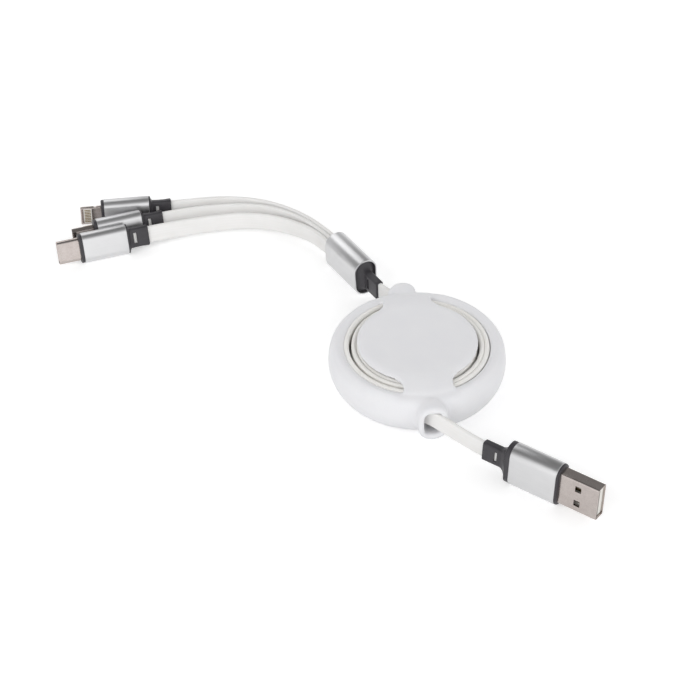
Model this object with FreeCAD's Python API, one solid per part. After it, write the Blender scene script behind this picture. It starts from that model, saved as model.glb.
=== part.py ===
"""Three-in-one charging cable on a spring reel. Millimetres.

The case stands on the floor with its axis on Z. The single plug leaves toward -Y, the splitter and
its three plugs leave toward +Y. Each plug is drawn along its own X axis, tip toward +X and its wide
side along Z, with X = 0 at the front edge of its sleeve, and is then placed on the floor.
"""
import FreeCAD
import Part
import math
import os

V = FreeCAD.Vector
ORIGIN = V(0, 0, 0)
UP = V(0, 0, 1)

# Case: bowl, rim, top disc
CASE_R = 29.3
TOP_Z = 19.6
MID_Z = TOP_Z - 8.7
WALL = 1.9
BASE_R = CASE_R - 9.1
FLANK_R = 18.0
FLANK_TURN = 13.5
SHOULDER_R = 3.0
RIM_EDGE_R = 0.66
RIM_R = CASE_R - 5.1
WINDOW_W = 4.1
DISC_R = RIM_R - WINDOW_W
DISC_FLAT_R = DISC_R - 3.4
DISC_EDGE_Z = TOP_Z - 1.0
DISC_UNDER_Z = TOP_Z - 1.5
LIP_H = 2.1
DISC_ROOM = 0.9
SEAM_LIP = 0.8

# Necks and collars
NECK_HALF_W = 8.2
NECK_FLARE_R = 4.0
COLLAR_W = 9.8
COLLAR_H = 13.6
COLLAR_END = CASE_R + 3.5
COLLAR_START = CASE_R - 2.6
COLLAR_ROUND = 1.1
HOLE_W = 5.8
HOLE_H = 8.7
HOLE_CORNER = 1.8
HOLE_BEVEL = 0.4

# Spool, spring and ratchet
POST_R = 3.0
POST_PIN_R = 2.2
RUN_GAP = 0.08
FLANGE_T = 1.6
DRUM_R = 10.5
DRUM_T = 1.3
BARREL_R = CASE_R - 12.1
BARREL_T = 1.2
SPRING_T = 0.25
SPRING_ROOM = 0.5
SPRING_TURNS = 6
BALL_R = 1.3
BALL_AT_R = BARREL_R + 3.0
BALL_TURN = 60.0
BALL_GAP = 0.05

# Flat cable
CABLE_W = 6.0
CABLE_T = 1.65
CABLE_BEVEL = 0.45
CABLE_PITCH = 1.75
COIL_GAP = 0.25
LEAD_GAP = 0.7
LEAD_TURN = 56.5
LEAD_REACH = 8.2
LEAD_DROP = 2.7
USB_MOUTH_X = 1.0
TAIL_MOUTH_X = 0.0
MOUTH_OUT = 1.5
WAY_ROOM = 0.3
STRAIGHT_L = 3.4
TAIL_STRAIGHT_L = 2.8
ARC_STEP = 9.0
SEAT_GAP = 0.02

# Strain reliefs
RELIEF_W = 7.2
RELIEF_T = 2.9
RELIEF_L = 6.5
RELIEF_ROUND = 0.9
SLOT_SHARE = 0.24
SLOT_W = 1.1
SLOT_H = 3.8

# Single plug
SLEEVE_WALL = 0.5
A_SLEEVE_W = 15.4
A_SLEEVE_T = 7.6
A_SLEEVE_L = 16.9
A_FLARE = 4.8
A_RIM = 0.7
A_SHELL_W = 12.0
A_SHELL_T = 4.5
A_SHELL_L = 14.0
A_WALL = 0.3
A_WINDOW = 2.2
A_WINDOW_Z = 2.8
A_WINDOW_BACK = 7.2
A_TONGUE_T = 1.84
A_ROOT = 3.0

# Branch plugs
B_SLEEVE_W = 10.8
B_SLEEVE_T = 5.5
B_SLEEVE_L = 16.0
B_FLARE = 1.4
B_RIM = 1.1
B_ROOT = 2.5
B_WALL = 0.28
C_SHELL_W = 8.34
C_SHELL_T = 2.56
C_SHELL_L = 7.8
M_SHELL_W = 6.85
M_SHELL_T = 1.85
M_SHELL_L = 7.8
M_KEY = 1.0
T_TAB_W = 6.7
T_TAB_T = 1.5
T_TAB_L = 7.4
T_PLATE_L = 2.9
T_PLATE_W = 5.2

# Splitter
S_SLEEVE_W = 13.8
S_SLEEVE_T = 8.9
S_SLEEVE_L = 20.4
S_RECESS = 0.9
S_DOME = 2.9
S_RELIEF_L = 7.4
BRANCH_OFFSET = CABLE_PITCH
BRANCH_ROWS = (1, 0, -1)

OVAL_SHARE = 0.48
FLOOR_GAP = 0.03


def lying_height(width, thick, roll):
    """Height of an oval sleeve's axis when the sleeve lies on the floor, rolled from upright."""
    radius = OVAL_SHARE * thick
    turn = math.radians(abs(roll))
    return (width / 2 - radius) * math.cos(turn) + (thick / 2 - radius) * math.sin(turn) + radius + FLOOR_GAP


# Where each piece stands: floor point under its axis at X = 0, turn about Z, tilt up, roll about its axis
A_YAW, A_ROLL = -43.0, -4.5
C_YAW, C_ROLL = 191.0, 23.0
M_YAW, M_ROLL = 191.0, 23.0
T_YAW, T_ROLL = 179.3, 16.0
S_YAW, S_TILT = 112.0, -3.5
A_PLACE = (V(35.27, -62.04, lying_height(A_SLEEVE_W, A_SLEEVE_T, A_ROLL)), A_YAW, 0.0, A_ROLL)
C_PLACE = (V(-105.3, 82.4, lying_height(B_SLEEVE_W, B_SLEEVE_T, C_ROLL)), C_YAW, 0.0, C_ROLL)
M_PLACE = (V(-99.4, 89.9, lying_height(B_SLEEVE_W, B_SLEEVE_T, M_ROLL)), M_YAW, 0.0, M_ROLL)
T_PLACE = (V(-96.2, 100.9, lying_height(B_SLEEVE_W, B_SLEEVE_T, T_ROLL)), T_YAW, 0.0, T_ROLL)
S_PLACE = (V(-17.4, 67.1, lying_height(S_SLEEVE_W, S_SLEEVE_T, 0.0)), S_YAW, S_TILT, 0.0)

PARTS = {}


def keep(name, shape):
    """Stores one finished node."""
    PARTS[name] = shape.removeSplitter() if shape.ShapeType != "Compound" else shape


def polar(radius, degrees):
    return radius * math.cos(math.radians(degrees)), radius * math.sin(math.radians(degrees))


def arc(a, b, c):
    return Part.Arc(a, b, c).toShape()


def line(a, b):
    return Part.makeLine(a, b)


def revolved(edges):
    """Turns a closed profile in the XZ plane about Z."""
    return Part.Face(Part.Wire(edges)).revolve(ORIGIN, UP, 360)


def ring(r_in, r_out, z0, z1):
    """Plain ring, or a disc when r_in is zero."""
    body = Part.makeCylinder(r_out, z1 - z0, V(0, 0, z0))
    if r_in > 0:
        body = body.cut(Part.makeCylinder(r_in, z1 - z0 + 2, V(0, 0, z0 - 1)))
    return body


def box(x0, x1, y0, y1, z0, z1):
    return Part.makeBox(x1 - x0, y1 - y0, z1 - z0, V(x0, y0, z0))


def polygon_revolved(points):
    corners = [V(r, 0, z) for r, z in points]
    return revolved([line(p, q) for p, q in zip(corners, corners[1:] + corners[:1])])


def rounded(width, thick, radius, x):
    """Rounded rectangle across the X axis: width along Z, thick along Y."""
    half_y = thick / 2
    half_z = width / 2
    cut = radius * (1 - math.sqrt(0.5))
    edges = []
    for turn in range(4):
        sy, sz = ((1, 1), (-1, 1), (-1, -1), (1, -1))[turn]
        start = V(x, sy * half_y, sz * (half_z - radius))
        middle = V(x, sy * (half_y - cut), sz * (half_z - cut))
        end = V(x, sy * (half_y - radius), sz * half_z)
        edges.append((start, middle, end) if turn % 2 == 0 else (end, middle, start))
    out = []
    for here, after in zip(edges, edges[1:] + edges[:1]):
        out.append(arc(*here))
        out.append(line(here[2], after[0]))
    return Part.Wire(out)


def oval(width, thick, x):
    """Rounded rectangle whose narrow sides are all but half circles."""
    return rounded(width, thick, OVAL_SHARE * thick, x)


def prism(wire, length):
    return Part.Face(wire).extrude(V(length, 0, 0))


def placed(shape, place):
    """Moves a piece from its own axes to its place on the floor."""
    point, yaw, tilt, roll = place
    out = shape.copy()
    out.rotate(ORIGIN, V(1, 0, 0), roll)
    out.rotate(ORIGIN, V(0, 1, 0), -tilt)
    out.rotate(ORIGIN, UP, yaw)
    out.translate(point)
    return out


def along(place, x, y=0.0):
    """Point on a placed piece, x along its axis and y across it."""
    return placed(Part.Vertex(V(x, y, 0)), place).Point


# Case halves

def bowl_radius(base_r):
    """Radius of the lower wall: upright at the widest point and ending on the base circle."""
    run = CASE_R - base_r
    return (run * run + MID_Z * MID_Z) / (2 * run)


def arc_point(cx, cz, radius, degrees):
    dx, dz = polar(radius, degrees)
    return V(cx + dx, 0, cz + dz)


def lower_outer():
    """Solid outside form of the lower half."""
    radius = bowl_radius(BASE_R)
    cx = CASE_R - radius
    foot = math.degrees(math.atan2(-MID_Z, BASE_R - cx))
    rim = V(CASE_R, 0, MID_Z)
    base = V(BASE_R, 0, 0)
    axis_top = V(0, 0, MID_Z)
    edges = [line(ORIGIN, base), arc(base, arc_point(cx, MID_Z, radius, foot / 2), rim)]
    edges += [line(rim, axis_top), line(axis_top, ORIGIN)]
    return revolved(edges)


def lower_cavity():
    """Room inside the lower half, one wall in from the outside."""
    outer = bowl_radius(BASE_R)
    cx = CASE_R - outer
    radius = outer - WALL
    foot = math.degrees(math.asin((WALL - MID_Z) / radius))
    start = arc_point(cx, MID_Z, radius, foot)
    rim = V(CASE_R - WALL, 0, MID_Z)
    lid = V(CASE_R - WALL, 0, MID_Z + 0.001)
    axis_top = V(0, 0, MID_Z + 0.001)
    axis_low = V(0, 0, WALL)
    edges = [line(axis_low, start), arc(start, arc_point(cx, MID_Z, radius, foot / 2), rim)]
    edges += [line(rim, lid), line(lid, axis_top), line(axis_top, axis_low)]
    return revolved(edges)


def rim_crown():
    """Highest point of the upper wall, where the shoulder ends."""
    dx, dz = polar(FLANK_R - SHOULDER_R, FLANK_TURN)
    return V(CASE_R - FLANK_R + dx, 0, MID_Z + dz + SHOULDER_R)


def rim_ring():
    """Upper wall: tall flank, round shoulder and rounded inner edge, hollow below."""
    flank_x = CASE_R - FLANK_R
    seam = V(CASE_R, 0, MID_Z)
    flank_mid = arc_point(flank_x, MID_Z, FLANK_R, FLANK_TURN / 2)
    flank_top = arc_point(flank_x, MID_Z, FLANK_R, FLANK_TURN)
    crown = rim_crown()
    shoulder_mid = arc_point(crown.x, crown.z - SHOULDER_R, SHOULDER_R, (FLANK_TURN + 90) / 2)
    edge_x = RIM_R + RIM_EDGE_R
    edge_top = V(edge_x, 0, crown.z)
    edge_mid = arc_point(edge_x, crown.z - RIM_EDGE_R, RIM_EDGE_R, 135)
    edge_low = V(RIM_R, 0, crown.z - RIM_EDGE_R)
    inside = CASE_R - WALL
    lip_z = crown.z - LIP_H
    corners = [V(RIM_R, 0, lip_z), V(RIM_R + 0.9, 0, lip_z), V(inside - 0.5, 0, lip_z - 1.3)]
    corners += [V(inside, 0, MID_Z + 1.7), V(inside, 0, MID_Z), seam]
    edges = [arc(seam, flank_mid, flank_top), arc(flank_top, shoulder_mid, crown)]
    if abs(crown.x - edge_x) > 0.001:
        edges.append(line(crown, edge_top))
    else:
        edge_top = crown
    edges += [arc(edge_top, edge_mid, edge_low), line(edge_low, corners[0])]
    edges += [line(p, q) for p, q in zip(corners, corners[1:])]
    return revolved(edges)


def top_disc():
    """Round top with a rolled edge."""
    flat = V(DISC_FLAT_R, 0, TOP_Z)
    edge_high = V(DISC_R, 0, DISC_EDGE_Z)
    roll = V(DISC_R - 0.9, 0, TOP_Z - 0.42)
    under_r = (DISC_EDGE_Z - DISC_UNDER_Z) / 2
    edge_low = V(DISC_R, 0, DISC_UNDER_Z + under_r)
    under = V(DISC_R - under_r, 0, DISC_UNDER_Z)
    under_mid = arc_point(under.x, edge_low.z, under_r, -45)
    low = V(0, 0, DISC_UNDER_Z)
    high = V(0, 0, TOP_Z)
    edges = [line(high, flat), arc(flat, roll, edge_high), line(edge_high, edge_low)]
    edges += [arc(edge_low, under_mid, under), line(under, low), line(low, high)]
    return revolved(edges)


def neck_envelope():
    """Falling top surface shared by both necks."""
    start = V(DISC_FLAT_R - 2.0, 0, TOP_Z)
    middle = V(DISC_R + 1.0, 0, TOP_Z - 0.45)
    low = V(RIM_R + 0.5, 0, TOP_Z - 1.35)
    end = V(CASE_R - 3.0, 0, TOP_Z - 2.45)
    foot = V(CASE_R - 3.0, 0, DISC_UNDER_Z - 1.5)
    axis_low = V(0, 0, DISC_UNDER_Z - 1.5)
    axis_high = V(0, 0, TOP_Z)
    edges = [line(axis_high, start), arc(start, middle, low), line(low, end), line(end, foot)]
    edges += [line(foot, axis_low), line(axis_low, axis_high)]
    return revolved(edges)


def neck_plan(side):
    """Outline of one neck seen from above, with hollow flares where it leaves the disc."""
    tip = CASE_R - 1.6
    flare = NECK_FLARE_R
    centre_y = math.sqrt((DISC_R + flare) ** 2 - (NECK_HALF_W + flare) ** 2)
    touch = DISC_R / (DISC_R + flare)
    x0, y0 = (NECK_HALF_W + flare) * touch, centre_y * touch
    x1 = NECK_HALF_W
    middle_angle = (180 + math.degrees(math.atan2(y0 - centre_y, x0 - x1 - flare)) % 360) / 2
    mx, my = polar(flare, middle_angle)
    right = [V(x1, side * tip, 0), V(x1, side * centre_y, 0)]
    bend = V(x1 + flare + mx, side * (centre_y + my), 0)
    root = V(x0, side * y0, 0)
    mirror = [V(-p.x, p.y, 0) for p in (root, bend, right[1], right[0])]
    edges = [line(right[0], right[1]), arc(right[1], bend, root), line(root, mirror[0])]
    edges += [arc(mirror[0], mirror[1], mirror[2]), line(mirror[2], mirror[3])]
    edges.append(line(mirror[3], right[0]))
    return Part.Wire(edges)


def across(shape, side, y):
    """Turns an X prism so that it runs along +Y or -Y at the height of the seam."""
    out = shape.copy()
    out.rotate(ORIGIN, UP, 90 * side)
    out.translate(V(0, side * y, MID_Z))
    return out


def collar(side):
    body = prism(oval(COLLAR_H, COLLAR_W, 0), COLLAR_END - COLLAR_START)
    ends = [e for e in body.Edges if e.BoundBox.XLength < 0.001]
    body = body.makeFillet(COLLAR_ROUND, ends)
    return across(body, side, COLLAR_START)


def cable_way(side):
    """Hole through one collar, and the slanting passage behind it for the cable off the coil."""
    hole = prism(rounded(HOLE_H, HOLE_W, HOLE_CORNER, 0), 9.0)
    hole = across(hole, side, COLLAR_END - 6.0)
    wide = rounded(HOLE_H + 2 * HOLE_BEVEL, HOLE_W + 2 * HOLE_BEVEL, HOLE_CORNER + HOLE_BEVEL, HOLE_BEVEL)
    bevel = Part.makeLoft([rounded(HOLE_H, HOLE_W, HOLE_CORNER, 0), wide], True, True)
    hole = hole.fuse(across(bevel, side, COLLAR_END - HOLE_BEVEL))
    bend, mouth = lead(side)[1:]
    ahead = V(mouth.x - bend.x, mouth.y - bend.y, 0)
    ahead.normalize()
    half = V(-ahead.y, ahead.x, 0) * (CABLE_T / 2 + WAY_ROOM)
    near, far = bend - ahead, mouth + ahead
    height = CABLE_W + bend.z - mouth.z + 2 * WAY_ROOM
    floor_z = mouth.z - CABLE_W / 2 - WAY_ROOM
    corners = [near + half, far + half, far - half, near - half]
    corners = [V(p.x, p.y, floor_z) for p in corners]
    passage = Part.Face(Part.makePolygon(corners + corners[:1])).extrude(V(0, 0, height))
    return hole.fuse(passage)


def below_seam():
    return box(-60, 60, -60, 60, -10, MID_Z)


def above_seam():
    return box(-60, 60, -60, 60, MID_Z, 40)


FLANGE_Z = DISC_UNDER_Z - DISC_ROOM - CABLE_W - FLANGE_T
COIL_Z = FLANGE_Z + FLANGE_T
NECK_UNDER_Z = COIL_Z + CABLE_W + COIL_GAP
COIL_R = RIM_R - COIL_GAP
FLANGE_R = COIL_R + 0.2
SPRING_Z = WALL + 0.8
SPRING_H = FLANGE_Z - SPRING_Z - SPRING_ROOM
BARREL_Z = WALL + 0.6
SLEEVE_TOP_Z = DISC_UNDER_Z - 2.0
BOSS_Z = SLEEVE_TOP_Z + 0.15
BALL_Z = FLANGE_Z - BALL_R + 0.85
LIP_R = CASE_R - WALL + SEAM_LIP


def lower_case():
    body = lower_outer()
    for side in (-1, 1):
        body = body.fuse(collar(side).common(below_seam()))
    body = body.cut(lower_cavity())
    lip = ring(CASE_R - WALL, LIP_R, MID_Z - 0.2, MID_Z + 1.0)
    body = body.fuse(lip)
    for side in (-1, 1):
        body = body.cut(cable_way(side))
    post = ring(0, POST_R, WALL - 0.2, BOSS_Z - RUN_GAP)
    post = post.fuse(ring(0, POST_PIN_R, BOSS_Z - 0.5, BOSS_Z + 1.6))
    slot = box(POST_R - 1.7, POST_R + 1, -0.2, SPRING_T + 0.2, SPRING_Z - 0.1, SPRING_Z + SPRING_H + 0.1)
    post = post.cut(slot)
    track = ring(BARREL_R - BARREL_T, BARREL_R, WALL - 0.2, BARREL_Z - RUN_GAP)
    body = body.fuse(post).fuse(track)
    boss = Part.makeCylinder(BALL_R + 1.1, BALL_Z - 0.3 - WALL + 0.2, V(BALL_AT_R, 0, WALL - 0.2))
    half = BALL_R + BALL_GAP
    seat = box(BALL_AT_R - 3, BALL_AT_R + 3, -half, half, BALL_Z - half, BALL_Z + 3)
    boss = boss.cut(seat)
    boss.rotate(ORIGIN, UP, BALL_TURN)
    return body.fuse(boss)


def upper_case():
    body = rim_ring().fuse(top_disc())
    envelope = neck_envelope()
    for side in (-1, 1):
        plate = Part.Face(neck_plan(side)).extrude(V(0, 0, TOP_Z))
        plate = plate.common(envelope)
        body = body.fuse(plate.cut(ring(0, RIM_R, 0, NECK_UNDER_Z)))
        outside = ring(RIM_R + 0.2, CASE_R + 8, MID_Z, TOP_Z + 2)
        body = body.fuse(collar(side).common(above_seam()).common(outside))
    inside = CASE_R - WALL
    lip_z = rim_crown().z - LIP_H
    room = [(0, MID_Z - 1), (inside, MID_Z - 1), (inside, MID_Z + 1.7), (inside - 0.5, lip_z - 1.3)]
    room += [(RIM_R + 0.9, lip_z), (RIM_R, lip_z), (RIM_R, NECK_UNDER_Z), (0, NECK_UNDER_Z)]
    body = body.cut(polygon_revolved(room))
    groove = ring(CASE_R - WALL - 1, LIP_R + 0.06, MID_Z - 1, MID_Z + 1.06)
    body = body.cut(groove)
    for side in (-1, 1):
        body = body.cut(cable_way(side))
    boss = ring(POST_PIN_R + SEAT_GAP, POST_R + 1.2, BOSS_Z, DISC_UNDER_Z + 0.2)
    return body.fuse(boss)


def spool():
    bore = POST_R + RUN_GAP
    drum_in = DRUM_R - DRUM_T
    top = COIL_Z + CABLE_W - 0.2
    points = [(bore, FLANGE_Z), (FLANGE_R, FLANGE_Z), (FLANGE_R, COIL_Z), (DRUM_R, COIL_Z), (DRUM_R, top)]
    points += [(drum_in, top), (drum_in, COIL_Z), (bore + 1.3, COIL_Z), (bore + 1.3, SLEEVE_TOP_Z)]
    points += [(bore, SLEEVE_TOP_Z)]
    body = polygon_revolved(points)
    barrel = ring(BARREL_R - BARREL_T, BARREL_R, BARREL_Z, FLANGE_Z + 0.2)
    reach = BARREL_R - BARREL_T
    low, high = SPRING_Z - 0.1, SPRING_Z + SPRING_H + 0.1
    barrel = barrel.cut(box(reach - 1, reach + 0.7, -SPRING_T - 0.2, 0.2, low, high))
    body = body.fuse(barrel)
    half = BALL_R + 0.3
    return body.cut(ring(BALL_AT_R - half, BALL_AT_R + half, FLANGE_Z - 1, FLANGE_Z + 0.9))


def spring():
    """Flat spiral of half circles, hooked into the post and into the barrel."""
    start = POST_R + 0.25
    end = BARREL_R - BARREL_T - 0.35
    step = (end - start - SPRING_T) / (2 * SPRING_TURNS)
    outer = []
    inner = []
    radius = start
    for half in range(2 * SPRING_TURNS):
        cx = 0 if half % 2 == 0 else step
        sign = 1 if half % 2 == 0 else -1
        for edges, r in ((inner, radius), (outer, radius + SPRING_T)):
            edges.append(arc(V(cx + sign * r, 0, 0), V(cx, sign * r, 0), V(cx - sign * r, 0, 0)))
        radius += step
    first = line(inner[0].Vertexes[0].Point, outer[0].Vertexes[0].Point)
    last = line(outer[-1].Vertexes[-1].Point, inner[-1].Vertexes[-1].Point)
    wire = Part.Wire(Part.__sortEdges__(inner + outer + [first, last]))
    body = Part.Face(wire).extrude(V(0, 0, SPRING_H))
    hook = box(POST_R - 1.4, start + SPRING_T / 2, 0, SPRING_T, 0, SPRING_H)
    tail_x = last.Vertexes[0].Point.x
    tail = box(tail_x - SPRING_T, BARREL_R - BARREL_T + 0.5, -SPRING_T, 0, 0, SPRING_H)
    body = body.fuse(hook).fuse(tail)
    body.translate(V(0, 0, SPRING_Z))
    return body


# Flat cables

def run_and_arc(points):
    """Stations along straight runs joined by tangent arcs, with the arc radii."""
    path = [points[0]]
    radii = []
    for before, here, after in zip(points, points[1:], points[2:]):
        into = here - before
        out = after - here
        reach = 0.45 * min(into.Length, out.Length)
        turn = into.getAngle(out)
        radius = reach / math.tan(turn / 2)
        radii.append(round(radius, 1))
        into.normalize()
        out.normalize()
        begin = here - into * reach
        inward = out - into * (out * into)
        inward.normalize()
        count = max(2, math.ceil(math.degrees(turn) / ARC_STEP))
        for k in range(count + 1):
            angle = turn * k / count
            path.append(begin + into * (radius * math.sin(angle)) + inward * (radius * (1 - math.cos(angle))))
    path.append(points[-1])
    return path, radii


def cable_section(point, ahead, roll):
    """Flat section with bevelled edges, across the way ahead."""
    side = UP.cross(ahead)
    side.normalize()
    rise = ahead.cross(side)
    rise.normalize()
    wide = rise * math.cos(math.radians(roll)) - side * math.sin(math.radians(roll))
    thin = ahead.cross(wide)
    half_w = CABLE_W / 2
    half_t = CABLE_T / 2
    bevel = CABLE_BEVEL
    loop = [(half_t, half_w - bevel), (half_t - bevel, half_w), (bevel - half_t, half_w)]
    loop += [(-half_t, half_w - bevel)]
    loop += [(-a, -b) for a, b in loop]
    corners = [point + thin * a + wide * b for a, b in loop]
    return Part.makePolygon(corners + corners[:1])


def flat_cable(name, points, roll):
    """Solid of one cable; it leaves upright and takes up its plug's roll on the way."""
    path, radii = run_and_arc(points)
    lengths = [0.0]
    for p, q in zip(path, path[1:]):
        lengths.append(lengths[-1] + (q - p).Length)
    total = lengths[-1]
    last_run = (path[-1] - path[-2]).Length
    sections = []
    for k, point in enumerate(path):
        before = path[max(k - 1, 0)]
        after = path[min(k + 1, len(path) - 1)]
        into = point - before if k else after - point
        out = after - point if k < len(path) - 1 else point - before
        into.normalize()
        out.normalize()
        ahead = into + out
        ahead.normalize()
        share = min(lengths[k] / (total - last_run), 1.0)
        sections.append(cable_section(point, ahead, roll * share * share * (3 - 2 * share)))
    body = Part.makeLoft(sections, True, True)
    area = CABLE_W * CABLE_T - 2 * CABLE_BEVEL ** 2
    print(f"{name}: length {total:.1f}, arc radii {radii}")
    print(f"{name}: volume {body.Volume:.1f}, section by length {area * total:.1f}")
    keep(name, body)


# Plug pieces

def sleeve(width, thick, length):
    inner = oval(width - 2 * SLEEVE_WALL, thick - 2 * SLEEVE_WALL, -length - 1)
    return prism(oval(width, thick, -length), length).cut(prism(inner, length + 2))


def relief(start, length, slot_at):
    """Strain relief running back from start, with its cable pocket and one slot through it."""
    body = prism(rounded(RELIEF_W, RELIEF_T, RELIEF_ROUND, start - length), length + 0.1)
    slot = box(slot_at - SLOT_W / 2, slot_at + SLOT_W / 2, -RELIEF_T, RELIEF_T, -SLOT_H / 2, SLOT_H / 2)
    return body.cut(slot)


def cable_pocket(x0, x1, rows=1):
    """Room for one cable, or for several side by side."""
    half_t = CABLE_T / 2 + BRANCH_OFFSET * (rows - 1) / 2 + SEAT_GAP
    half_w = CABLE_W / 2 + SEAT_GAP
    return box(x0, x1, -half_t, half_t, -half_w, half_w)


def flare_loft(width, thick, x0, x1):
    """Hollow-sided change from the sleeve's oval at x0 to the strain relief at x1."""
    sections = []
    for k in range(6):
        share = k / 5
        ease = math.sin(share * math.pi / 2) ** 0.75
        w = width + (RELIEF_W - width) * ease
        t = thick + (RELIEF_T - thick) * ease
        r = OVAL_SHARE * thick + (RELIEF_ROUND - OVAL_SHARE * thick) * ease
        sections.append(rounded(w, t, r, x0 + (x1 - x0) * share))
    return Part.makeLoft(sections, True, True)


def moulding(width, thick, length, flare, rim):
    """Black core of a plug: front rim, core in the sleeve, flare and strain relief."""
    core_w = width - 2 * SLEEVE_WALL - 2 * SEAT_GAP
    core_t = thick - 2 * SLEEVE_WALL - 2 * SEAT_GAP
    body = prism(oval(core_w, core_t, -length - 0.1), length + rim + 0.1)
    front = prism(oval(width - 0.3, thick - 0.3, SEAT_GAP), rim - SEAT_GAP)
    back = -length - SEAT_GAP
    step = 0.35 * flare
    collar_ring = prism(oval(width - 0.3, thick - 0.3, back - step), step)
    taper = flare_loft(width - 0.3, thick - 0.3, back - step, back - flare)
    body = body.fuse(front).fuse(collar_ring).fuse(taper)
    body = body.fuse(relief(back - flare, RELIEF_L, back - flare - SLOT_SHARE * RELIEF_L))
    return body.cut(cable_pocket(back - flare - RELIEF_L - 1, back - flare - 0.6))


def relief_end(length, flare):
    return -length - SEAT_GAP - flare - RELIEF_L


def cable_end(length, flare):
    return -length - SEAT_GAP - flare - 0.65


def single_plug():
    body = moulding(A_SLEEVE_W, A_SLEEVE_T, A_SLEEVE_L, A_FLARE, A_RIM)
    tip = A_RIM + A_SHELL_L
    gap = 2 * SEAT_GAP
    body = body.cut(box(-A_ROOT, tip, -(A_SHELL_T + gap) / 2, (A_SHELL_T + gap) / 2,
                        -(A_SHELL_W + gap) / 2, (A_SHELL_W + gap) / 2))
    outer = prism(rounded(A_SHELL_W, A_SHELL_T, 0.55, -A_ROOT), A_ROOT + tip)
    in_w = A_SHELL_W - 2 * A_WALL
    in_t = A_SHELL_T - 2 * A_WALL
    shell = outer.cut(prism(rounded(in_w, in_t, 0.28, -A_ROOT - 1), A_ROOT + tip + 2))
    half = A_WINDOW / 2
    at = tip - A_WINDOW_BACK
    for z in (-A_WINDOW_Z, A_WINDOW_Z):
        shell = shell.cut(box(at - half, at + half, -A_SHELL_T, A_SHELL_T, z - half, z + half))
    block_t = in_t - gap
    block = prism(rounded(in_w - gap, block_t, 0.26, -A_ROOT), A_ROOT + A_RIM + 1.0)
    face_y = block_t / 2 - A_TONGUE_T
    tongue = box(0, tip - 0.7, face_y, block_t / 2, -in_w / 2 + 0.2, in_w / 2 - 0.2)
    tongue = block.fuse(tongue)
    contacts = []
    for z, reach in ((-3.5, 1.2), (-1.0, 2.2), (1.0, 2.2), (3.5, 1.2)):
        strip = box(A_RIM + 1.0 + SEAT_GAP, tip - reach, face_y - 0.2, face_y, z - 0.5, z + 0.5)
        contacts.append(placed(strip, A_PLACE))
    keep("usb_moulding", placed(body, A_PLACE))
    keep("usb_sleeve", placed(sleeve(A_SLEEVE_W, A_SLEEVE_T, A_SLEEVE_L), A_PLACE))
    keep("usb_shell", placed(shell, A_PLACE))
    keep("usb_tongue", placed(tongue, A_PLACE))
    keep("usb_contacts", Part.makeCompound(contacts))


def branch_body(name, place, root_pocket):
    """Moulding and sleeve common to the three small plugs."""
    body = moulding(B_SLEEVE_W, B_SLEEVE_T, B_SLEEVE_L, B_FLARE, B_RIM).cut(root_pocket)
    keep(name + "_moulding", placed(body, place))
    keep(name + "_sleeve", placed(sleeve(B_SLEEVE_W, B_SLEEVE_T, B_SLEEVE_L), place))


def oval_plug():
    tip = B_RIM + C_SHELL_L
    gap = 2 * SEAT_GAP
    branch_body("oval", C_PLACE, prism(oval(C_SHELL_W + gap, C_SHELL_T + gap, -B_ROOT), B_ROOT + tip))
    in_w = C_SHELL_W - 2 * B_WALL
    in_t = C_SHELL_T - 2 * B_WALL
    shell = prism(oval(C_SHELL_W, C_SHELL_T, -B_ROOT), B_ROOT + tip)
    shell = shell.cut(prism(oval(in_w, in_t, -B_ROOT - 1), B_ROOT + tip + 2))
    back = B_RIM + 1.6
    insulator = prism(oval(in_w - gap, in_t - gap, -B_ROOT), B_ROOT + back)
    contacts = []
    for side in (-1, 1):
        for k in range(12):
            z = (k - 5.5) * 0.5
            y = side * (in_t / 2 - 0.18)
            strip = box(back, tip - 1.6, y - 0.1, y + 0.1, z - 0.13, z + 0.13)
            contacts.append(placed(strip, C_PLACE))
    keep("oval_shell", placed(shell, C_PLACE))
    keep("oval_insulator", placed(insulator, C_PLACE))
    keep("oval_contacts", Part.makeCompound(contacts))


def keystone(width, thick, key, x):
    """Flat section with the two corners of one wide side cut away."""
    y = thick / 2
    z = width / 2
    loop = [(-y, -z), (y - key, -z), (y, key - z), (y, z - key), (y - key, z), (-y, z)]
    corners = [V(x, a, b) for a, b in loop]
    return Part.makePolygon(corners + corners[:1])


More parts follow.
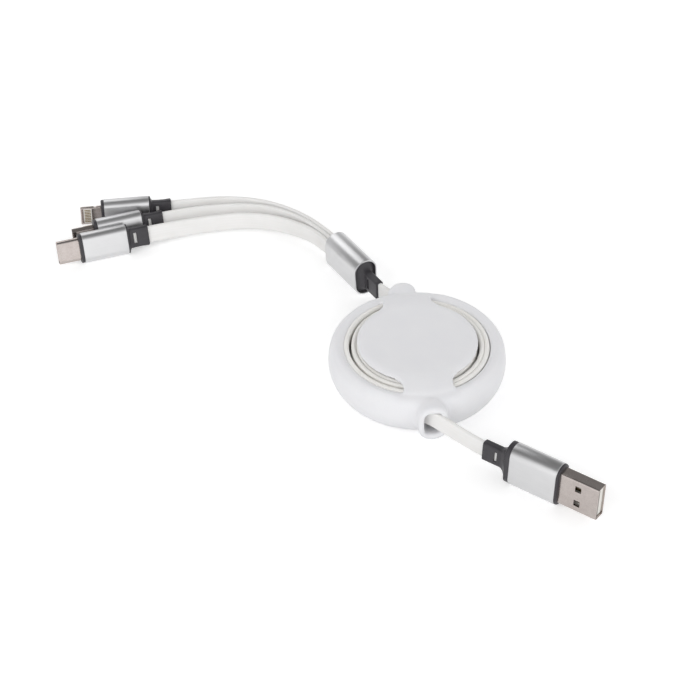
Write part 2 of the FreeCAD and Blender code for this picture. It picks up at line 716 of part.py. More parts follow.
def keystone_plug():
    tip = B_RIM + M_SHELL_L
    gap = 2 * SEAT_GAP
    key = M_KEY
    pocket = prism(keystone(M_SHELL_W + gap, M_SHELL_T + gap, key, -B_ROOT), B_ROOT + tip)
    branch_body("keystone", M_PLACE, pocket)
    in_w = M_SHELL_W - 2 * B_WALL
    in_t = M_SHELL_T - 2 * B_WALL
    in_key = key - 0.586 * B_WALL
    shell = prism(keystone(M_SHELL_W, M_SHELL_T, key, -B_ROOT), B_ROOT + tip)
    shell = shell.cut(prism(keystone(in_w, in_t, in_key, -B_ROOT - 1), B_ROOT + tip + 2))
    hooks = []
    for z in (-2.2, 2.2):
        slot = box(tip - 4.4, tip - 2.0, -M_SHELL_T, -in_t / 2 + 0.02, z - 0.35, z + 0.35)
        shell = shell.cut(slot)
        low = -M_SHELL_T / 2
        corners = [V(tip - 4.3, low + B_WALL, 0), V(tip - 4.3, low - 0.35, 0), V(tip - 2.2, low + B_WALL, 0)]
        hook = Part.Face(Part.makePolygon(corners + corners[:1])).extrude(V(0, 0, 0.5))
        hook.translate(V(0, 0, z - 0.25))
        hooks.append(placed(hook, M_PLACE))
    back = B_RIM + 1.2
    block = prism(keystone(in_w - gap, in_t - gap, in_key, -B_ROOT), B_ROOT + back)
    tongue_low = in_t / 2 - SEAT_GAP - 0.55
    tongue = block.fuse(box(0, tip - 0.8, tongue_low, in_t / 2 - SEAT_GAP, -2.0, 2.0))
    contacts = []
    for k in range(5):
        z = (k - 2) * 0.65
        strip = box(back + SEAT_GAP, tip - 1.2, tongue_low - 0.12, tongue_low, z - 0.19, z + 0.19)
        contacts.append(placed(strip, M_PLACE))
    keep("keystone_shell", placed(shell, M_PLACE))
    keep("keystone_hooks", Part.makeCompound(hooks))
    keep("keystone_tongue", placed(tongue, M_PLACE))
    keep("keystone_contacts", Part.makeCompound(contacts))


def tab_plug():
    tip = B_RIM + T_TAB_L
    gap = 2 * SEAT_GAP
    branch_body("tab", T_PLACE, prism(oval(T_TAB_W + gap, T_TAB_T + gap, -B_ROOT), B_ROOT + tip))
    tab = prism(oval(T_TAB_W, T_TAB_T, -B_ROOT), B_ROOT + tip)
    corners = [e for e in tab.Edges if e.BoundBox.XLength < 0.001 and e.CenterOfMass.x > tip - 0.01]
    tab = tab.makeFillet(0.45, corners)
    plate_x = tip - 1.1 - T_PLATE_L
    plate_w = T_PLATE_W / 2
    tab = tab.cut(box(plate_x, plate_x + T_PLATE_L, -T_TAB_T, T_TAB_T, -plate_w, plate_w))
    for z in (-T_TAB_W / 2, T_TAB_W / 2):
        dent = Part.makeCylinder(0.55, 4, V(B_RIM + 2.1, -2, z - math.copysign(0.12, -z)), V(0, 1, 0))
        tab = tab.cut(dent)
    half_t = T_TAB_T / 2 - 0.1
    rim = SEAT_GAP
    block = box(plate_x + rim, plate_x + T_PLATE_L - rim, -half_t, half_t, rim - plate_w, plate_w - rim)
    contacts = []
    for side in (-1, 1):
        for k in range(8):
            z = (k - 3.5) * 0.6
            y0, y1 = sorted((side * half_t, side * (half_t + 0.08)))
            strip = box(plate_x + 0.35, plate_x + T_PLATE_L - 0.35, y0, y1, z - 0.18, z + 0.18)
            contacts.append(placed(strip, T_PLACE))
    keep("tab_blade", placed(tab, T_PLACE))
    keep("tab_block", placed(block, T_PLACE))
    keep("tab_contacts", Part.makeCompound(contacts))


def splitter():
    """Sleeve and core; the core is sunk at both ends and carries the strain relief on its case side."""
    core_w = S_SLEEVE_W - 2 * SLEEVE_WALL - 2 * SEAT_GAP
    core_t = S_SLEEVE_T - 2 * SLEEVE_WALL - 2 * SEAT_GAP
    back = S_RECESS - S_SLEEVE_L
    body = prism(oval(core_w, core_t, back), S_SLEEVE_L - S_RECESS - 0.5)
    end = back - S_DOME
    body = body.fuse(flare_loft(core_w, core_t, back, end))
    body = body.fuse(relief(end, S_RELIEF_L, end - SLOT_SHARE * S_RELIEF_L))
    body = body.cut(cable_pocket(end - S_RELIEF_L - 1, end - 0.6))
    body = body.cut(cable_pocket(-4.0, 1.0, len(BRANCH_ROWS)))
    keep("splitter_moulding", placed(body, S_PLACE))
    keep("splitter_sleeve", placed(sleeve(S_SLEEVE_W, S_SLEEVE_T, S_SLEEVE_L), S_PLACE))
    return end


def lead(side):
    """Start of a free cable: two points beside the coil, clear of it, and one inside the collar."""
    z = COIL_Z + CABLE_W / 2 - LEAD_DROP
    radius = COIL_R + CABLE_T / 2 + LEAD_GAP
    turn = math.degrees(LEAD_REACH / radius)
    x0, y0 = polar(radius, LEAD_TURN)
    x1, y1 = polar(radius, LEAD_TURN + turn)
    mouth_x = TAIL_MOUTH_X if side > 0 else USB_MOUTH_X
    points = [V(side * x0, side * y0, z), V(side * x1, side * y1, z)]
    return points + [V(side * mouth_x, side * (CASE_R + MOUTH_OUT), z - 0.3)]


def plug_run(place, length, flare):
    """Last two points of a cable: straight into a plug's strain relief."""
    return [along(place, relief_end(length, flare) - STRAIGHT_L), along(place, cable_end(length, flare))]


def cables(splitter_end):
    flat_cable("usb_cable", lead(-1) + plug_run(A_PLACE, A_SLEEVE_L, A_FLARE), A_PLACE[3])
    tail = lead(1)
    tail.append(along(S_PLACE, splitter_end - S_RELIEF_L - TAIL_STRAIGHT_L))
    tail.append(along(S_PLACE, splitter_end - 0.65))
    flat_cable("tail_cable", tail, S_PLACE[3])
    routes = {
        "oval_cable": (C_PLACE, [(-27.0, 80.6, 5.9), (-43.0, 90.6, 5.0), (-62.0, 90.6, 4.7)]),
        "keystone_cable": (M_PLACE, [(-27.3, 85.0, 5.9), (-41.0, 95.4, 5.0), (-58.0, 97.0, 4.7)]),
        "tab_cable": (T_PLACE, [(-26.6, 87.0, 5.9), (-40.0, 98.2, 5.0), (-55.5, 102.0, 4.7)]),
    }
    for row, (name, (place, middle)) in zip(BRANCH_ROWS, routes.items()):
        points = [along(S_PLACE, -3.9, row * BRANCH_OFFSET), along(S_PLACE, STRAIGHT_L, row * BRANCH_OFFSET)]
        points += [V(*p) for p in middle]
        points += plug_run(place, B_SLEEVE_L, B_FLARE)
        flat_cable(name, points, place[3])


def ball():
    x, y = polar(BALL_AT_R, BALL_TURN)
    return Part.makeSphere(BALL_R, V(x, y, BALL_Z))


def main():
    keep("lower_case", lower_case())
    keep("upper_case", upper_case())
    keep("spool", spool())
    keep("spring", spring())
    keep("ratchet_ball", ball())
    keep("cable_coil", ring(DRUM_R + 0.05, COIL_R, COIL_Z, COIL_Z + CABLE_W))
    single_plug()
    oval_plug()
    keystone_plug()
    tab_plug()
    cables(splitter())
    os.makedirs("parts", exist_ok=True)
    for name, shape in PARTS.items():
        solids = len(shape.Solids)
        print(f"{name}: {solids} solid, volume {shape.Volume:.1f}, valid {shape.isValid()}")
        shape.exportStep(f"parts/{name}.step")


main()
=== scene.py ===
"""Looks of a retractable charging cable: soft white reel, flat cables, aluminium plugs, pale studio."""
import logging
import math
from dataclasses import dataclass, field
from enum import Enum
from typing import Any, Iterable, Sequence

import bmesh
import bpy
import numpy as np
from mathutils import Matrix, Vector


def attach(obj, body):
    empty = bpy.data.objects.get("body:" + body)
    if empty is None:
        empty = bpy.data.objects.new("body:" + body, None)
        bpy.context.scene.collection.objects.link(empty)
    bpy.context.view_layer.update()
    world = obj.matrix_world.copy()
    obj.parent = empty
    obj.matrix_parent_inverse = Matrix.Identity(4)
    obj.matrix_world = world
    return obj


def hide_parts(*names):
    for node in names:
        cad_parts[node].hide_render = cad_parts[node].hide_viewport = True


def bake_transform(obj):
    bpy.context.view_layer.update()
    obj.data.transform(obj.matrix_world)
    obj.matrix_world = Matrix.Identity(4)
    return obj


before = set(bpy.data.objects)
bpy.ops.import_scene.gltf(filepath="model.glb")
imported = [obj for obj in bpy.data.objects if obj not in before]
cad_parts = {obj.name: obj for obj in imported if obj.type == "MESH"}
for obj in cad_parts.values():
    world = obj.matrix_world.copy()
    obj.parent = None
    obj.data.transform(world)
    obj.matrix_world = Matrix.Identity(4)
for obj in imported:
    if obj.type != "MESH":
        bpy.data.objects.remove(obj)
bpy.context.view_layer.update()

MM = 0.001
Array = np.ndarray
Obj = bpy.types.Object
LOG = logging.getLogger("reel_cable")


class Grain(Enum):
    """How a surface was made, which sets the pattern it shows."""

    MOULDED = "moulded"
    BRUSHED = "brushed"
    EXTRUDED = "extruded"
    PLATED = "plated"


class Slot(Enum):
    """Names of the material slots."""

    CASE = "case_shell"
    SPOOL = "spool_plastic"
    SPRING = "spring_steel"
    CABLE = "cable_jacket"
    BLACK = "black_moulding"
    SLEEVE = "sleeve_aluminium"
    STEEL = "plug_steel"
    WHITE = "white_insulator"
    DARK = "black_insulator"
    GOLD = "contact_gold"


# Materials


def linear(code: str) -> tuple[float, float, float, float]:
    """Turns an sRGB hex colour to linear.

    Args:
        code: Six hex digits with a leading hash.

    Returns:
        Linear red, green, blue and an alpha of one.
    """
    share = np.array([int(code[k:k + 2], 16) for k in (1, 3, 5)]) / 255.0
    value = np.where(share <= 0.04045, share / 12.92, ((share + 0.055) / 1.055) ** 2.4)
    return (*(float(v) for v in value), 1.0)


def add_node(tree: bpy.types.NodeTree, kind: str, settings: dict[str, Any] | None = None,
             inputs: dict[Any, Any] | None = None) -> bpy.types.Node:
    """Adds one node, sets it and links it.

    Args:
        tree: Node tree that takes the node.
        kind: Blender's name of the node type.
        settings: Attributes of the node.
        inputs: Socket values by name or number; a socket as value becomes a link.

    Returns:
        The new node.
    """
    made = tree.nodes.new(kind)
    for key, value in (settings or {}).items():
        setattr(made, key, value)
    for key, value in (inputs or {}).items():
        if isinstance(value, bpy.types.NodeSocket):
            tree.links.new(value, made.inputs[key])
        else:
            made.inputs[key].default_value = value
    return made


# Spans of the noise that carry a finish from one end to the other, and how far light spreads under plastic.
TINT_SPAN = (0.7, 1.3)
GLOSS_SPAN = (0.3, 0.7)
SPREAD_MM = 0.8
SPREAD_SHARES = (1.0, 0.9, 0.85)


@dataclass(frozen=True)
class Finish:
    """One finish: what the surface is, how it was made and the sizes of its pattern in millimetres."""

    name: str
    slot: Slot
    base: str
    shade: str
    roughness: float
    grain: Grain
    metallic: float = 0.0
    ior: float = 1.5
    specular: float = 0.5
    grit_mm: float = 0.3
    cloud_mm: float = 6.0
    streak_mm: float = 14.0
    relief_mm: float = 0.01
    rough_swing: float = 0.06
    subsurface: float = 0.0
    own: bool = False

    def _pattern_space(self, tree: bpy.types.NodeTree) -> tuple[bpy.types.NodeSocket, float]:
        """Gives the coordinates of the pattern and how many of their units make a millimetre.

        Args:
            tree: Node tree of the material.

        Returns:
            A vector socket, and its units for each millimetre.
        """
        if self.own:
            read = add_node(tree, "ShaderNodeAttribute", {"attribute_name": "own_mm"})
            return read.outputs["Vector"], 1.0
        read = add_node(tree, "ShaderNodeTexCoord")
        return read.outputs["Object"], MM

    def material(self) -> bpy.types.Material:
        """Builds the material.

        Returns:
            A node material with colour variation, roughness variation and bump.
        """
        made = bpy.data.materials.new(self.name)
        made.use_nodes = True
        tree = made.node_tree
        tree.nodes.clear()
        space, unit = self._pattern_space(tree)
        lengthwise = self.grain in (Grain.BRUSHED, Grain.EXTRUDED)
        stretch = self.grit_mm / self.streak_mm if lengthwise else 1.0
        squeezed = add_node(tree, "ShaderNodeMapping", None, {"Vector": space, "Scale": (stretch, 1.0, 1.0)})
        fine = add_node(tree, "ShaderNodeTexNoise", None, {
            "Vector": squeezed.outputs[0], "Scale": 1.0 / (self.grit_mm * unit),
            "Detail": 3.0, "Roughness": 0.6})
        cloud = add_node(tree, "ShaderNodeTexNoise", None, {
            "Vector": space, "Scale": 1.0 / (self.cloud_mm * unit), "Detail": 2.0, "Roughness": 0.5})
        mixed = add_node(tree, "ShaderNodeMath", {"operation": "ADD"}, {
            0: fine.outputs[0], 1: cloud.outputs[0]})
        spread = add_node(tree, "ShaderNodeMapRange", None, {
            "Value": mixed.outputs[0], "From Min": TINT_SPAN[0], "From Max": TINT_SPAN[1],
            "To Min": 0.0, "To Max": 1.0})
        tint = add_node(tree, "ShaderNodeMix", {"data_type": "RGBA"}, {
            0: spread.outputs[0], 6: linear(self.base), 7: linear(self.shade)})
        gloss = add_node(tree, "ShaderNodeMapRange", None, {
            "Value": fine.outputs[0], "From Min": GLOSS_SPAN[0], "From Max": GLOSS_SPAN[1],
            "To Min": self.roughness - self.rough_swing, "To Max": self.roughness + self.rough_swing})
        bump = add_node(tree, "ShaderNodeBump", None, {
            "Height": fine.outputs[0], "Distance": self.relief_mm * MM, "Strength": 1.0})
        shader = add_node(tree, "ShaderNodeBsdfPrincipled", None, {
            "Base Color": tint.outputs[2], "Roughness": gloss.outputs[0], "Normal": bump.outputs[0],
            "Metallic": self.metallic, "IOR": self.ior, "Specular IOR Level": self.specular,
            "Subsurface Weight": self.subsurface, "Subsurface Radius": SPREAD_SHARES,
            "Subsurface Scale": SPREAD_MM * MM})
        add_node(tree, "ShaderNodeOutputMaterial", None, {"Surface": shader.outputs[0]})
        return made


# Soft-touch ABS: matte, no mirror image, a very fine spark-eroded grain drawn coarse enough to show.
SOFT_CASE = Finish("soft_touch_abs", Slot.CASE, "#EAEAEC", "#E6E6E9", 0.58, Grain.MOULDED, specular=0.35,
                   grit_mm=0.35, cloud_mm=9.0, relief_mm=0.006, subsurface=0.08)
# Plain ABS of the inner spool: a little glossier than the case.
SPOOL_ABS = Finish("spool_abs", Slot.SPOOL, "#DCDCDC", "#D4D4D4", 0.45, Grain.MOULDED, grit_mm=0.4)
# Thermoplastic elastomer: satin, faint lengthwise lines from the die, slightly warm white.
CABLE_TPE = Finish("cable_tpe", Slot.CABLE, "#ECEBEA", "#E6E5E3", 0.46, Grain.EXTRUDED, specular=0.4,
                   grit_mm=0.3, cloud_mm=7.0, streak_mm=12.0, relief_mm=0.006, subsurface=0.08, own=True)
# The same elastomer on the reel, seen edge on: painted a lighter cream than the loose cable, a painted
# brightening that offsets the shade the turns cast on each other.
COIL_TPE = Finish("coil_tpe", Slot.CABLE, "#F3F2EF", "#EEECE8", 0.46, Grain.EXTRUDED, specular=0.4,
                  grit_mm=0.3, cloud_mm=7.0, streak_mm=12.0, relief_mm=0.006, subsurface=0.05, own=True)
# Black PVC overmould: satin charcoal with a fine etched grain.
BLACK_PVC = Finish("black_pvc", Slot.BLACK, "#3C3A3E", "#323034", 0.42, Grain.MOULDED, specular=0.45,
                   grit_mm=0.22, cloud_mm=3.0, relief_mm=0.012, own=True)
# Clear anodised aluminium, bead blasted then brushed lengthwise: soft bands of light along the plug.
ANODISED = Finish("anodised_aluminium", Slot.SLEEVE, "#D5D5D6", "#D0D0D1", 0.35, Grain.BRUSHED, metallic=1.0,
                  grit_mm=0.16, cloud_mm=5.0, streak_mm=9.0, relief_mm=0.0006, rough_swing=0.02, own=True)
# Nickel plated steel strip: warm grey mirror with a slight haze.
NICKEL = Finish("nickel_plate", Slot.STEEL, "#BFB7B3", "#B5ACA8", 0.2, Grain.PLATED, metallic=1.0,
                grit_mm=0.5, cloud_mm=2.5, relief_mm=0.0012, rough_swing=0.05)
# Rolled steel of the return spring and the ratchet ball: plain cool grey, hidden in the case.
SPRING_STEEL = Finish("spring_strip", Slot.SPRING, "#B8B8BA", "#A8A8AA", 0.25, Grain.PLATED, metallic=1.0)
# Glass-filled polymer of tongues and contact blocks: dull, with a broad, weak highlight.
WHITE_LCP = Finish("white_lcp", Slot.WHITE, "#F1EFEA", "#EAE8E2", 0.5, Grain.MOULDED, grit_mm=0.2)
BLACK_LCP = Finish("black_lcp", Slot.DARK, "#1E1E20", "#161617", 0.45, Grain.MOULDED, grit_mm=0.2)
# Gold flash over nickel on the contacts: thin, so it reads as a pale, dull gold.
GOLD_FLASH = Finish("gold_flash", Slot.GOLD, "#BBAA8A", "#AA9878", 0.28, Grain.PLATED, metallic=1.0,
                    grit_mm=0.3)


class Paints:
    """Materials by finish, each made once."""

    def __init__(self) -> None:
        """Starts with no material made."""
        self._made: dict[str, bpy.types.Material] = {}

    def get(self, finish: Finish) -> bpy.types.Material:
        """Gives the material of a finish.

        Args:
            finish: The finish wanted.

        Returns:
            Its material, built on first use.
        """
        if finish.name not in self._made:
            self._made[finish.name] = finish.material()
        return self._made[finish.name]


PAINTS = Paints()


# Meshes


@dataclass(frozen=True)
class Place:
    """Where a piece lies: its axis point at X = 0 in millimetres, then turn, tilt and roll in degrees."""

    point: tuple[float, float, float]
    yaw: float
    tilt: float = 0.0
    roll: float = 0.0

    def turn(self) -> Array:
        """Rotation: roll about X, then tilt about Y, then turn about Z.

        Returns:
            The matrix, three by three.
        """
        r, t, y = np.radians((self.roll, -self.tilt, self.yaw))
        about_x = np.array([[1, 0, 0], [0, np.cos(r), -np.sin(r)], [0, np.sin(r), np.cos(r)]])
        about_y = np.array([[np.cos(t), 0, np.sin(t)], [0, 1, 0], [-np.sin(t), 0, np.cos(t)]])
        about_z = np.array([[np.cos(y), -np.sin(y), 0], [np.sin(y), np.cos(y), 0], [0, 0, 1]])
        return about_z @ about_y @ about_x

    def out(self, points: Array) -> Array:
        """Carries points from the piece's own axes to the floor."""
        return np.asarray(points, float) @ self.turn().T + np.array(self.point)


# Corner radius of an oval as a share of its thickness, the least radius, and the room under what lies on the
# floor. Lengths are in millimetres.
OVAL_SHARE = 0.48
LEAST_CORNER = 0.05
FLOOR_ROOM = 0.03


def lying(width: float, thick: float, roll: float) -> float:
    """Height of an oval sleeve's axis when it lies on the floor.

    Args:
        width: Long side of the oval in millimetres.
        thick: Short side in millimetres.
        roll: Lean from upright in degrees.

    Returns:
        Height in millimetres, with a hair of room under it.
    """
    radius = OVAL_SHARE * thick
    lean = math.radians(abs(roll))
    rise = (width / 2 - radius) * math.cos(lean) + (thick / 2 - radius) * math.sin(lean)
    return rise + radius + FLOOR_ROOM


def rounded_grid(stations: Array, corner_points: int = 9) -> Array:
    """Carries a rounded rectangle along X.

    Each corner is a quarter circle about its own centre: side sign times (half side - radius), plus
    radius times the direction.

    Args:
        stations: One row for each section: x, width along Z, thickness along Y, corner radius.
        corner_points: Points on each corner.

    Returns:
        Grid of points, one row for each station.
    """
    x, width, thick, radius = np.asarray(stations, float).T[..., None]
    quarter = np.linspace(0.0, math.pi / 2, corner_points)
    angle = np.concatenate([quarter + k * math.pi / 2 for k in range(4)])
    side_y = np.repeat([1, -1, -1, 1], corner_points)
    side_z = np.repeat([1, 1, -1, -1], corner_points)
    y = side_y * (thick / 2 - radius) + radius * np.cos(angle)
    z = side_z * (width / 2 - radius) + radius * np.sin(angle)
    return np.stack([np.broadcast_to(x, y.shape), y, z], axis=-1)


def oval_rows(xs: Sequence[float], insets: Sequence[float], width: float, thick: float) -> Array:
    """Stations of one oval drawn in by given insets.

    Args:
        xs: Places along the axis.
        insets: How far each section lies inside the full oval.
        width: Full width.
        thick: Full thickness.

    Returns:
        Rows of x, width, thickness and corner radius.
    """
    x = np.asarray(xs, float)
    inset = np.asarray(insets, float)
    radius = np.maximum(OVAL_SHARE * thick - inset, LEAST_CORNER)
    return np.stack([x, width - 2 * inset, thick - 2 * inset, radius], axis=1)


def grid_faces(rows: int, cols: int, ring: bool, caps: bool) -> list[list[int]]:
    """Faces of a grid whose columns close round.

    Args:
        rows: Sections of the grid.
        cols: Points of each section.
        ring: Whether the last section joins the first.
        caps: Whether the two end sections are closed.

    Returns:
        Quads, and two end polygons where asked.
    """
    row = np.arange(rows if ring else rows - 1)[:, None]
    col = np.arange(cols)[None, :]
    after_row = (row + 1) % rows
    after_col = (col + 1) % cols
    quads = np.stack([row * cols + col, row * cols + after_col, after_row * cols + after_col,
                      after_row * cols + col], axis=-1).reshape(-1, 4).tolist()
    if caps:
        quads.append(list(range(cols)))
        quads.append(list(range((rows - 1) * cols, rows * cols))[::-1])
    return quads


def mesh_from_grid(name: str, grid: Array, ring: bool = False, caps: bool = True) -> bpy.types.Mesh:
    """Makes a closed mesh from a grid in millimetres, with faces pointing outwards.

    Args:
        name: Name of the mesh.
        grid: Points, rows by columns by three.
        ring: Whether the rows close round.
        caps: Whether the ends are closed.

    Returns:
        The mesh, in metres.
    """
    rows, cols = grid.shape[:2]
    mesh = bpy.data.meshes.new(name)
    mesh.from_pydata((grid.reshape(-1, 3) * MM).tolist(), [], grid_faces(rows, cols, ring, caps and not ring))
    solid = bmesh.new()
    solid.from_mesh(mesh)
    bmesh.ops.recalc_face_normals(solid, faces=solid.faces)
    solid.to_mesh(mesh)
    solid.free()
    return mesh


def vertex_points(mesh: bpy.types.Mesh) -> Array:
    """Reads a mesh's vertices.

    Args:
        mesh: Mesh in metres.

    Returns:
        Points in millimetres, one row for each vertex.
    """
    flat = np.empty(len(mesh.vertices) * 3, np.float32)
    mesh.vertices.foreach_get("co", flat)
    return flat.reshape(-1, 3).astype(float) / MM


def write_points(mesh: bpy.types.Mesh, points: Array) -> None:
    """Writes an array in millimetres to a mesh's vertices."""
    mesh.vertices.foreach_set("co", (np.asarray(points) * MM).astype(np.float32).ravel())
    mesh.update()


def own_attribute(mesh: bpy.types.Mesh, values: Array) -> None:
    """Stores each vertex's place on the piece's own axes, for patterns that follow the piece."""
    made = mesh.attributes.get("own_mm") or mesh.attributes.new("own_mm", "FLOAT_VECTOR", "POINT")
    made.data.foreach_set("vector", np.asarray(values, np.float32).ravel())


def smooth_by_angle(mesh: bpy.types.Mesh, degrees: float) -> None:
    """Shades a mesh smooth, with edges sharp past an angle."""
    mesh.shade_smooth()
    mesh.set_sharp_from_angle(angle=math.radians(degrees))


def linked(name: str, data: bpy.types.ID) -> Obj:
    """Puts a new object into the scene.

    Args:
        name: Name of the object.
        data: Its mesh, curve, light or camera.

    Returns:
        The object, with no parent.
    """
    made = bpy.data.objects.new(name, data)
    bpy.context.scene.collection.objects.link(made)
    return made


def show(name: str, mesh: bpy.types.Mesh, finish: Finish) -> Obj:
    """Puts a mesh into the scene with its finish.

    Args:
        name: Name of the piece.
        mesh: Its mesh, already in place.
        finish: Its finish.

    Returns:
        The new object, with no parent.
    """
    piece = linked(name, mesh)
    mesh.materials.clear()
    mesh.materials.append(PAINTS.get(finish))
    LOG.info("piece %s: %d faces, %s", name, len(mesh.polygons), finish.name)
    return piece


def applied(piece: Obj) -> bpy.types.Mesh:
    """Gives the mesh of an object with its modifiers applied."""
    graph = bpy.context.evaluated_depsgraph_get()
    return bpy.data.meshes.new_from_object(piece.evaluated_get(graph), depsgraph=graph)


# Corner radius of a cut and the points on it, the distance at which two points become one, and the angle past
# which an edge is rounded. Lengths are in millimetres.
CUT_CORNER = 0.12
CUT_CORNER_POINTS = 3
WELD_MM = 0.002
BEVEL_DEGREES = 40.0


def cut_boxes(mesh: bpy.types.Mesh, boxes: Sequence[Array]) -> bpy.types.Mesh:
    """Cuts boxes out of a mesh.

    Args:
        mesh: Mesh in its own axes, in metres.
        boxes: Each two corners in millimetres.

    Returns:
        A new mesh with the boxes cut away.
    """
    host = linked("cut_host", mesh)
    cutters = []
    for low, high in boxes:
        size, middle = high - low, (low + high) / 2
        stations = np.array([[x, size[2], size[1], CUT_CORNER] for x in (low[0], high[0])])
        grid = rounded_grid(stations, CUT_CORNER_POINTS) + np.array([0.0, middle[1], middle[2]])
        cutter = linked("cutter", mesh_from_grid("cutter", grid))
        cutters.append(cutter)
        step = host.modifiers.new("cut", "BOOLEAN")
        step.operation = "DIFFERENCE"
        step.solver = "EXACT"
        step.object = cutter
    out = applied(host)
    for used in (*cutters, host):
        bpy.data.objects.remove(used)
    return out


def dress_node(name: str, finish: Finish, bevel_mm: float = 0.0) -> Obj:
    """Gives a construction node its finish, and soft edges where asked.

    Args:
        name: Node name.
        finish: Its finish.
        bevel_mm: Width of the edge round, or zero.

    Returns:
        The node's object.
    """
    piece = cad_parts[name]
    piece.data.materials.clear()
    piece.data.materials.append(PAINTS.get(finish))
    if bevel_mm:
        weld = piece.modifiers.new("weld", "WELD")
        weld.merge_threshold = WELD_MM * MM
        bevel = piece.modifiers.new("edge_round", "BEVEL")
        bevel.width = bevel_mm * MM
        bevel.segments = 2
        bevel.limit_method = "ANGLE"
        bevel.angle_limit = math.radians(BEVEL_DEGREES)
        bevel.harden_normals = False
    LOG.info("node %s: %s", name, finish.name)
    return piece


# Case


@dataclass
class Case:
    """Two soft white halves seen as one moulded skin, with the spool, spring and ball inside."""

    voxel_mm: float = 0.44
    relax_steps: int = 5
    relax_share: float = 0.5
    window_r: float = 21.6
    rim_r: float = 24.3
    rim_w: float = 0.6
    rim_drop: float = 0.3
    crest_r: float = 26.6
    crest_w: float = 1.1
    crest_rise: float = 0.45
    crest_foot: float = 16.0
    crest_fade: float = 0.8
    neck_half: float = 9.5
    neck_fade: float = 3.0
    skin_nodes: tuple[str, str] = ("lower_case", "upper_case")

    def _joined(self) -> bpy.types.Mesh:
        """Copies both halves into one mesh.

        Returns:
            The mesh, with double points merged.
        """
        solid = bmesh.new()
        for name in self.skin_nodes:
            solid.from_mesh(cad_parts[name].data)
        bmesh.ops.remove_doubles(solid, verts=solid.verts, dist=WELD_MM * MM)
        mesh = bpy.data.meshes.new("case_joined")
        solid.to_mesh(mesh)
        solid.free()
        return mesh

    def _relaxed(self, mesh: bpy.types.Mesh) -> Array:
        """Rounds every edge by moving each vertex toward the mean of its neighbours, several times.

        Args:
            mesh: Mesh of the skin.

        Returns:
            The moved points in millimetres.
        """
        points = vertex_points(mesh)
        ends = np.empty(len(mesh.edges) * 2, np.int32)
        mesh.edges.foreach_get("vertices", ends)
        a, b = ends.reshape(-1, 2).T
        size = len(points)
        count = np.bincount(a, minlength=size) + np.bincount(b, minlength=size)
        for _ in range(self.relax_steps):
            total = np.stack([np.bincount(a, points[b, k], size) + np.bincount(b, points[a, k], size)
                              for k in range(3)], axis=1)
            points = points + self.relax_share * (total / count[:, None] - points)
        return points

    def _moulded(self, points: Array) -> Array:
        """Gives the rim round the windows a soft crest with a slope down to the window.

        The height gains a bell curve of the radius at the crest and loses one at the rim's edge, which also
        moves inwards.

        Args:
            points: Points of the skin in millimetres.

        Returns:
            The points, moved by parts of a millimetre, and untouched on the disc and the necks.
        """
        x, y, z = points.T
        r = np.hypot(x, y)
        away = np.clip((np.abs(x) - self.neck_half) / self.neck_fade, 0.0, 1.0)
        upper = away * np.clip((z - self.crest_foot) / self.crest_fade, 0.0, 1.0) * (r > self.window_r)
        edge = np.exp(-((r - self.rim_r) / self.rim_w) ** 2)
        crest = np.exp(-((r - self.crest_r) / self.crest_w) ** 2)
        inward = 1.0 - upper * self.rim_drop * edge / np.maximum(r, 1.0)
        lifted = z + upper * (self.crest_rise * crest - self.rim_drop * edge)
        return np.stack([x * inward, y * inward, lifted], axis=1)

    def build(self) -> Obj:
        """Makes the skin: both halves voxelled into one body, then relaxed so that edges turn soft.

        Returns:
            The skin piece.
        """
        host = linked("case_host", self._joined())
        step = host.modifiers.new("skin", "REMESH")
        step.mode = "VOXEL"
        step.voxel_size = self.voxel_mm * MM
        step.adaptivity = 0.0
        mesh = applied(host)
        bpy.data.objects.remove(host)
        write_points(mesh, self._moulded(self._relaxed(mesh)))
        mesh.shade_smooth()
        skin = show("case_skin", mesh, SOFT_CASE)
        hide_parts(*self.skin_nodes)
        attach(skin, "case")
        dress_node("spool", SPOOL_ABS)
        dress_node("spring", SPRING_STEEL)
        dress_node("ratchet_ball", SPRING_STEEL)
        return skin


# Flat cables


def eased(share: Array) -> Array:
    """Smooth step from 0 to 1: three times the square less twice the cube."""
    return share * share * (3.0 - 2.0 * share)


def run_along(path: Array) -> Array:
    """Length passed at each point of a path: the running sum of its steps."""
    return np.concatenate([[0.0], np.cumsum(np.linalg.norm(np.diff(path, axis=0), axis=1))])


@dataclass(frozen=True)
class FlatCable:
    """Section of the flat cable in millimetres, and how it is swept."""

    width: float = 6.0
    thick: float = 1.65
    corner: float = 0.62
    corner_points: int = 6

    def section(self) -> Array:
        """Offsets across the cable: thickness, then width, round one ring."""
        ring = rounded_grid(np.array([[0.0, self.width, self.thick, self.corner]]), self.corner_points)[0]
        return ring[:, 1:]

    def sweep(self, path: Array, roll: Array) -> tuple[Array, Array]:
        """Carries the section along a path, its width upright and leaning by the roll.

        The side is up cross ahead, the rise is ahead cross side, and the two are turned by the roll.

        Args:
            path: Points of the centreline in millimetres.
            roll: Lean at each point in degrees.

        Returns:
            Grid of the surface, and each point's own place: along, across the thickness, across the width.
        """
        ahead = np.gradient(path, axis=0)
        ahead /= np.linalg.norm(ahead, axis=1, keepdims=True)
        side = np.cross(np.array([0.0, 0.0, 1.0]), ahead)
        side /= np.linalg.norm(side, axis=1, keepdims=True)
        rise = np.cross(ahead, side)
        lean = np.radians(roll)[:, None]
        wide = rise * np.cos(lean) - side * np.sin(lean)
        thin = np.cross(ahead, wide)
        ring = self.section()
        grid = path[:, None] + thin[:, None] * ring[None, :, :1] + wide[:, None] * ring[None, :, 1:]
        run = run_along(path)
        own = np.concatenate([np.broadcast_to(run[:, None, None], (*grid.shape[:2], 1)),
                              np.broadcast_to(ring[None], (*grid.shape[:2], 2))], axis=2)
        return grid, own


CABLE = FlatCable()
